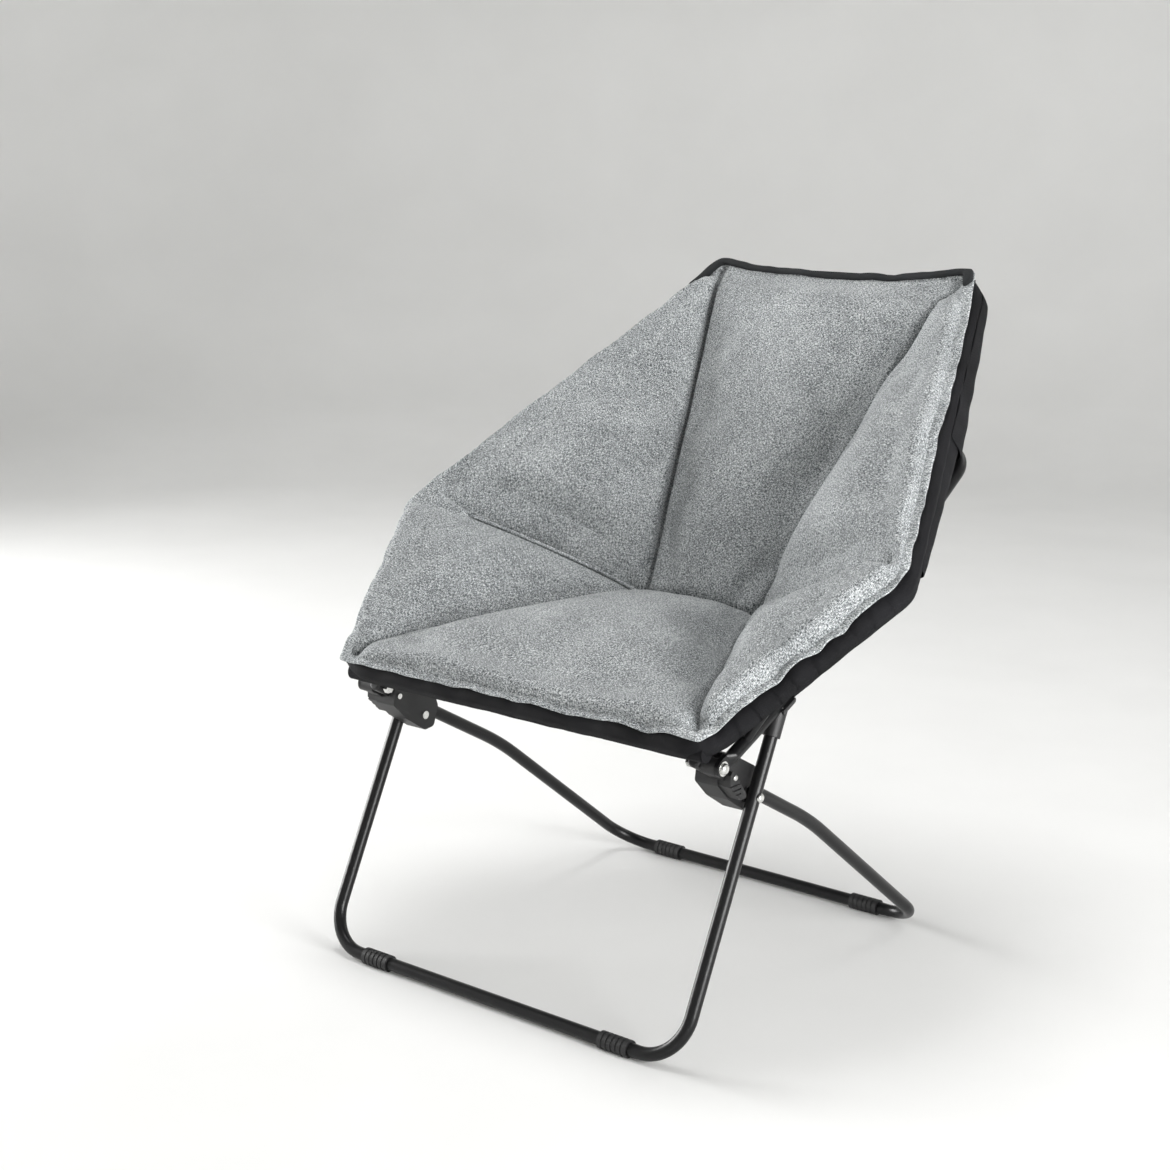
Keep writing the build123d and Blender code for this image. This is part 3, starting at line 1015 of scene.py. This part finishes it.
def loft_loops(loops, closed):
    """A skin through rows of points, made by bridging each row to the next."""
    bm = bmesh.new()
    rows = []
    for loop in loops:
        verts = [bm.verts.new(point) for point in loop]
        ends = verts[1:] + verts[:1] if closed else verts[1:]
        rows.append([bm.edges.new(pair) for pair in zip(verts, ends)])
    for upper, lower in zip(rows, rows[1:]):
        bmesh.ops.bridge_loops(bm, edges=upper + lower)
    bmesh.ops.recalc_face_normals(bm, faces=bm.faces[:])
    return bm


def thicken(obj, thick, offset):
    """Gives a skin its thickness: inwards with -1, both ways with 0, outwards with 1."""
    cloth = obj.modifiers.new("cloth thickness", "SOLIDIFY")
    cloth.thickness = thick
    cloth.offset = offset


def add_to_saucer(obj):
    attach(obj, "saucer")
    print(obj.name, len(obj.data.polygons), "faces")
    return obj


# %% [markdown]
# The seam between each arm and the side of the back is top-stitched, which leaves a
# thin raised welt on it. The welt follows the stitched points of the blown cushion.

# %% Side welts
WELT_R = 0.0023
WELT_LIFT = 0.0034


def seam_line(start, end):
    """The blown cushion's stitched points between two corners, in order."""
    a, b = blank_corners[start], blank_corners[end]
    found = []
    for index in sorted(pinned - rim_points):
        if to_segment(flat_places[index], a, b) < ON_EDGE:
            vert = cushion.data.vertices[index]
            found.append(((flat_places[index] - a).length, vert.co + vert.normal * WELT_LIFT))
    return [place for _, place in sorted(found, key=lambda item: item[0])]


for side, (start, end) in SIDE_SEAMS.items():
    line = seam_line(start, end)
    # The welt takes the lighter grey cloth, so its line is a painted highlight.
    welt = curve_mesh(f"{side}_seam_welt", line, flange_cloth_painted_highlight, WELT_R, WELT_SIDES)
    add_to_saucer(welt)

# %% [markdown]
# The flange runs from the top left corner down round the front to the top right one.
# It is held flat by the cushion at its inner edge, and its outer edge ruffles and
# wavers a little, as sewn cloth does.

# %% Edge flange
FLANGE_INSETS = (0.0105, 0.0075, 0.0035, -0.0010)
FLANGE_THICK = 0.0026
FLANGE_DROP = 0.001
RUFFLE = 0.0022
RUFFLE_SCALE = 55
WAVER = 0.0016
WAVER_SCALE = 38
WAVER_SHIFT = Vector((5, 1, 2))


def ruffled_line(first, last, inset, w):
    """The pulled rim line at one inset, its outer edge a little wavy."""
    loose = RUFFLE * max(0.0, 1 - inset / FLANGE_INSETS[0])
    share = loose / RUFFLE
    middle = saucer_point(0, MIDDLE_V, w)
    line = []
    for point in rim_line(first, last, inset, w):
        away = (point - middle).normalized()
        waver = away * WAVER * share * noise.noise(point * WAVER_SCALE + WAVER_SHIFT)
        ruffle = outward * loose * noise.noise(point * RUFFLE_SCALE)
        line.append(point + ruffle + waver)
    return line


def edge_ribbon(name, rows, material, thick):
    obj = make_object(name, loft_loops(rows, False), material)
    thicken(obj, thick, 0)
    soften(obj)
    return add_to_saucer(obj)


flange_rows = [ruffled_line(3, 8, inset, EDGE_W - FLANGE_DROP) for inset in FLANGE_INSETS]
# The flange's lighter grey is a painted highlight along the raised edge.
edge_ribbon("edge_flange", flange_rows, flange_cloth_painted_highlight, FLANGE_THICK)

# %% [markdown]
# The tape is folded over the top edge, so it is thicker than the flange and stands
# higher. It ends just past the corners, further down on the left than on the right.

# %% Top binding
TAPE_INSETS = (0.0110, 0.0060, -0.0005)
TAPE_THICK = 0.0078
TAPE_LIFT = 0.0020
TAPE_RIGHT_STEPS = 3
TAPE_LEFT_STEPS = 7

tape_rows = [ruffled_line(1, 4, inset, EDGE_W + TAPE_LIFT) for inset in TAPE_INSETS]
tape_span = slice(RIM_STEPS - TAPE_RIGHT_STEPS, 2 * RIM_STEPS + TAPE_LEFT_STEPS + 1)
top_tape = edge_ribbon("top_tape", [row[tape_span] for row in tape_rows], tape_cloth,
                       TAPE_THICK)
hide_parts("top_binding")

# %% [markdown]
# ## The sling
# Under the cushion hangs a bowl of black cloth. It is cut in six panels like the
# cushion and hangs just below it, with a ripple of about a millimetre, because a
# stretched cloth is never quite flat.

# %% Sling bowl
SLING_CUTS = 20
SLING_DROP = 0.0104
SLING_BASE = 0.0204
SLING_INSET = 0.004
SLING_SPREAD = 0.0085
SLING_THICK = 0.002
SLING_RIPPLE = 0.0012
SLING_RIPPLE_SCALE = 22


def sling_bowl():
    bm = bmesh.new()
    points = rim_corners(SLING_INSET, -SLING_DROP)
    spread = BOWL_HALF + SLING_SPREAD
    points += [saucer_point(side * spread, BOWL_V, -BOWL_DEPTH - SLING_BASE) for side in (1, -1)]
    verts = [bm.verts.new(point) for point in points]
    for ring in PANELS.values():
        bm.faces.new([verts[i] for i in ring])
    cut_area = sum(face.calc_area() for face in bm.faces)
    bmesh.ops.subdivide_edges(bm, edges=bm.edges[:], cuts=SLING_CUTS, use_grid_fill=True)
    bmesh.ops.recalc_face_normals(bm, faces=bm.faces[:])
    if bm.faces[0].normal.z > 0:
        bmesh.ops.reverse_faces(bm, faces=bm.faces[:])
    for vert in bm.verts:
        if not vert.is_boundary:
            ripple = noise.noise(vert.co * SLING_RIPPLE_SCALE)
            vert.co += vert.normal * SLING_RIPPLE * ripple
    return make_object("sling_bowl", bm, sling_cloth), cut_area


bowl, cut_area = sling_bowl()
print("sling cut from", round(cut_area, 3), "square metres of cloth")
thicken(bowl, SLING_THICK, 1)
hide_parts("sling")
add_to_saucer(bowl)

# %% [markdown]
# The sling is sewn round the steel ring, so its sleeves, band and pockets all follow
# the ring's middle line. We work it out as the CAD does: the hexagon is moved in
# square to its sides, and its corners are rounded to the tube's bends.

# %% Ring line
RING_DROP = 0.0288
RING_INSET = 0.006
RING_CORNER_R = 0.042
ARC_STEPS = 8
LINE_STEP = 0.006


def inset_hexagon(inset):
    """(u, v) of the right corners, moved in square to the sides as the ring is."""
    lean_front = math.atan2(MIDDLE_HALF - FRONT_HALF, MIDDLE_V)
    lean_back = math.atan2(MIDDLE_HALF - TOP_HALF, TOP_V - MIDDLE_V)
    front_in = inset * (1 - math.sin(lean_front)) / math.cos(lean_front)
    top_in = inset * (1 - math.sin(lean_back)) / math.cos(lean_back)
    middle_in = inset / math.cos((lean_front + lean_back) / 2)
    middle_in *= math.cos((lean_back - lean_front) / 2)
    return [(FRONT_HALF - front_in, inset), (MIDDLE_HALF - middle_in, MIDDLE_V),
            (TOP_HALF - top_in, TOP_V - inset)]


def ring_corners():
    half = [saucer_point(u, v, -RING_DROP) for u, v in inset_hexagon(RING_INSET)]
    return half + [Vector((-p.x, p.y, p.z)) for p in reversed(half)]


def rounded_line(corners):
    """Evenly spaced points along straight runs with the ring's round corners."""
    points = [corners[0]]
    for before, corner, after in zip(corners, corners[1:], corners[2:]):
        into = (corner - before).normalized()
        out = (after - corner).normalized()
        turn = into.angle(out)
        reach = RING_CORNER_R * math.tan(turn / 2)
        centre = corner + (out - into).normalized() * RING_CORNER_R / math.cos(turn / 2)
        arm = corner - into * reach - centre
        axis = into.cross(out).normalized()
        for i in range(ARC_STEPS + 1):
            points.append(centre + Matrix.Rotation(turn * i / ARC_STEPS, 3, axis) @ arm)
    points.append(corners[-1])
    even = [points[0]]
    for a, b in zip(points, points[1:]):
        count = max(1, round((b - a).length / LINE_STEP))
        even += [a.lerp(b, (i + 1) / count) for i in range(count)]
    return even


ring = ring_corners()
front_right, middle_right, top_right, top_left, middle_left, front_left = ring
print("ring's width", round((middle_right - middle_left).length, 3))

# %% [markdown]
# The sling's rim is turned over the ring as a sleeve. The ring stays bare from each
# front corner to past the post, and the sleeve over the top is wider. The cloth is
# loose on the tube, so it crumples in small folds.

# %% Ring sleeves
SLEEVE_R = 0.0102
SLEEVE_FOLD = 0.0009
TOP_R = 0.0118
TOP_FOLD = 0.0012
SLEEVE_SIDES = 6
BARE_TO = 0.40
SLEEVE_END = 0.1
TOP_TURN = 0.32
FOLD_SCALE = 30
FOLD_LIFT = 0.4
FINE_FOLDS = 0.5
FINE_SCALE = 2.7


def crumple(obj, amount):
    """Small folds across a cloth tube, kept from cutting into the steel."""
    for vert in obj.data.vertices:
        place = vert.co * FOLD_SCALE
        fold = noise.noise(place) + FINE_FOLDS * noise.noise(place * FINE_SCALE)
        vert.co += vert.normal * amount * (FOLD_LIFT + fold)


def sleeve(name, corners, radius, amount):
    obj = curve_mesh(name, rounded_line(corners), sling_cloth, radius, SLEEVE_SIDES)
    crumple(obj, amount)
    return add_to_saucer(obj)


sewn_on = [sleeve("front_sleeve", [front_left, front_right], SLEEVE_R, SLEEVE_FOLD)]
for side, low, middle, high in (("right", front_right, middle_right, top_right),
                                ("left", front_left, middle_left, top_left)):
    run = [low.lerp(middle, BARE_TO), middle, high.lerp(middle, SLEEVE_END)]
    sewn_on.append(sleeve(f"{side}_sleeve", run, SLEEVE_R, SLEEVE_FOLD))
top_start = top_right.lerp(middle_right, TOP_TURN)
top_end = top_left.lerp(middle_left, TOP_TURN)
top_run = [top_start, top_right, top_left, top_end]
sewn_on.append(sleeve("top_sleeve", top_run, TOP_R, TOP_FOLD))

# %% [markdown]
# Between the cushion's flange and the ring the sling's cloth stands up as a narrow
# black band. It is drawn as three closed loops, one under the flange and two over
# the outside of the ring, and the loops are bridged and given a cloth's thickness.

# %% Sling band
BAND_CLEAR = 0.0096
BAND_THICK = 0.0012
BAND_TOP_INSET = 0.005
BAND_TOP_DROP = 0.004
BAND_BULGE = 0.0012
BAND_RISE = 0.009
BAND_FOOT = 0.002
BAND_RIPPLE = 0.0016
BAND_RIPPLE_SCALE = 26


def ring_outside(line):
    """Each point of the ring's line with the way that points out of the ring there."""
    found = []
    for i, point in enumerate(line):
        along = line[(i + 1) % len(line)] - line[i - 1]
        out = along.cross(outward).normalized()
        if out.dot(point - saucer_point(0, MIDDLE_V, -RING_DROP)) < 0:
            out.negate()
        found.append((point, out))
    return found


middle_front = (ring[0] + ring[-1]) / 2
ring_places = ring_outside(rounded_line([middle_front, *ring, middle_front])[:-1])


def nearest_place(point):
    return min(ring_places, key=lambda place: (place[0] - point).length_squared)


def sling_band():
    top = rim_line(0, 6, BAND_TOP_INSET, EDGE_W - BAND_TOP_DROP)[:-1]
    middle, foot = [], []
    for point in top:
        centre, out = nearest_place(point)
        ripple = BAND_RIPPLE * noise.noise(point * BAND_RIPPLE_SCALE)
        swell = BAND_CLEAR + BAND_BULGE + ripple
        middle.append(centre + out * swell + outward * BAND_RISE)
        foot.append(centre + out * (BAND_CLEAR + ripple / 2) - outward * BAND_FOOT)
    bm = loft_loops([top, middle, foot], True)
    return make_object("sling_band", bm, sling_cloth)


band = sling_band()
thicken(band, BAND_THICK, 1)
sewn_on.append(add_to_saucer(band))

# %% [markdown]
# Two deep pockets slip over the ring's top corners and carry the back of the sling.
# They hang further behind the ring than the sleeve does, most of all at their open
# lower ends, which gape a little.

# %% Corner pockets
POCKET_TOP = 0.30
PULLED_SIDE = ((0.0, 0.005), (0.25, 0.013), (0.5, 0.021), (0.75, 0.013), (0.93, 0.002))
POCKET_SIDE = ((0.0, 0.007), (0.25, 0.020), (0.53, 0.029))
POCKET_GAPE = 0.0016
POCKET_FOLD = 0.0020
POCKET_FOLD_SCALE = 34


def depth_at(table, share):
    """Straight-line reading of a short table of (share of the side, depth)."""
    for (a, low), (b, high) in zip(table, table[1:]):
        if share <= b:
            return low + (high - low) * (share - a) / (b - a)
    return table[-1][1]


def pocket_section(deep, extra, fold):
    """(out, up) from the ring's middle to five rows: two beside the ring, one hanging
    below it, the lowest fold, and the one that is sewn under the sling."""
    return [
        (0.0108 + extra + fold, 0.006),
        (0.0125 + extra + fold, -0.004),
        (0.0112 + extra + 0.25 * deep + fold, -0.012 - 0.6 * deep),
        (0.002, -0.0118 - deep + fold),
        (-0.034, -0.0125 - 0.25 * deep),
    ]


def corner_pocket(name, low, corner, across_top, table, extra):
    start = corner.lerp(low, table[-1][0])
    run = rounded_line([start, corner, corner.lerp(across_top, POCKET_TOP)])
    side = (low - corner).normalized()
    rows = [[], [], [], [], []]
    for point in run:
        centre, out = nearest_place(point)
        share = max(0.0, (point - corner).dot(side) / (low - corner).length)
        deep = depth_at(table, share)
        fold = POCKET_FOLD * noise.noise(centre * POCKET_FOLD_SCALE + outward * extra)
        for row, (aside, lift) in zip(rows, pocket_section(deep, extra, fold)):
            row.append(centre + out * aside + outward * lift)
    obj = make_object(name, loft_loops(rows, False), sling_cloth)
    thicken(obj, BAND_THICK, -1)
    soften(obj)
    return add_to_saucer(obj)


for side, *place in (("right", middle_right, top_right, top_left),
                     ("left", middle_left, top_left, top_right)):
    sewn_on.append(corner_pocket(f"{side}_side_turnover", *place, PULLED_SIDE, 0.0))
    sewn_on.append(corner_pocket(f"{side}_corner_pocket", *place, POCKET_SIDE, POCKET_GAPE))

# %% [markdown]
# The sling is one sheet of cloth, held stretched on the two halves of the ring, and
# the sleeves, the band, the turnovers and the pockets are sewn to it.

print("pieces sewn to the sling", len(sewn_on))

# %% [markdown]
# ## Stage and light
# A pale floor that curves up into a wall far behind, so that no edge shows. Its
# colour wanders a little.

# %% Floor
FLOOR_PROFILE = ((0, 0), (3.6, 0), (4.4, 0.15), (5.0, 0.6), (5.25, 1.3), (5.3, 6))
FLOOR_DROP = 0.0005
SPIN_STEPS = 96
FLOOR_PAINT = (0.80, 0.80, 0.79)
FLOOR_ROUGH = 0.9
FLOOR_CLOUDS = (3, 3, 3)
FLOOR_TONES = [(0.3, (0.79, 0.79, 0.78)), (0.7, (0.82, 0.82, 0.81))]
MERGE = 1e-5


def add_floor():
    bm = bmesh.new()
    verts = [bm.verts.new((x, 0, z - FLOOR_DROP)) for x, z in FLOOR_PROFILE]
    edges = [bm.edges.new(pair) for pair in zip(verts, verts[1:])]
    bmesh.ops.spin(bm, geom=verts + edges, cent=(0, 0, 0), axis=(0, 0, 1),
                   angle=2 * math.pi, steps=SPIN_STEPS, use_merge=True)
    bmesh.ops.remove_doubles(bm, verts=bm.verts[:], dist=MERGE)
    bmesh.ops.recalc_face_normals(bm, faces=bm.faces[:])
    bmesh.ops.reverse_faces(bm, faces=bm.faces[:])
    material, shader = new_material("pale_floor", FLOOR_PAINT, FLOOR_ROUGH)
    clouds = noise_texture(material, FLOOR_CLOUDS)
    link(material, colour_ramp(material, clouds, FLOOR_TONES), shader.inputs["Base Color"])
    floor = make_object("studio_floor", bm, material)
    return floor


print(add_floor().name)

# %% [markdown]
# Four soft lamps and a pale world light the chair. The broad low ones on both sides
# shine into the opposite arms of the bowl, as in the photograph. The one overhead
# shades the folds and the floor, and the one behind picks out the steel.

# %% Lamps and world
LAMPS = {
    "left_lamp": ((-3.0, -0.8, 0.85), 1.5, 104),
    "right_lamp": ((3.0, -0.6, 0.85), 1.5, 110),
    "top_lamp": ((-0.4, 0.1, 3.2), 1.2, 37),
    "back_lamp": ((0.9, 2.6, 2.6), 1.4, 10),
}
LAMP_AIM = Vector((0, 0, 0.4))
WORLD_COLOUR = (0.93, 0.93, 0.92, 1)
WORLD_STRENGTH = 0.31


def add_lamp(name, place, size, power):
    data = bpy.data.lights.new(name, "AREA")
    data.size = size
    data.energy = power
    lamp = bpy.data.objects.new(name, data)
    lamp.location = place
    aim = LAMP_AIM - Vector(place)
    lamp.rotation_euler = aim.to_track_quat("-Z", "Y").to_euler()
    bpy.context.scene.collection.objects.link(lamp)


for name, (place, size, power) in LAMPS.items():
    add_lamp(name, place, size, power)
world = bpy.data.worlds.new("pale_world")
world.use_nodes = True
background = world.node_tree.nodes["Background"]
background.inputs["Color"].default_value = WORLD_COLOUR
background.inputs["Strength"].default_value = WORLD_STRENGTH
bpy.context.scene.world = world
bpy.context.scene.view_settings.view_transform = "Standard"
print("lamps", len(bpy.data.lights))
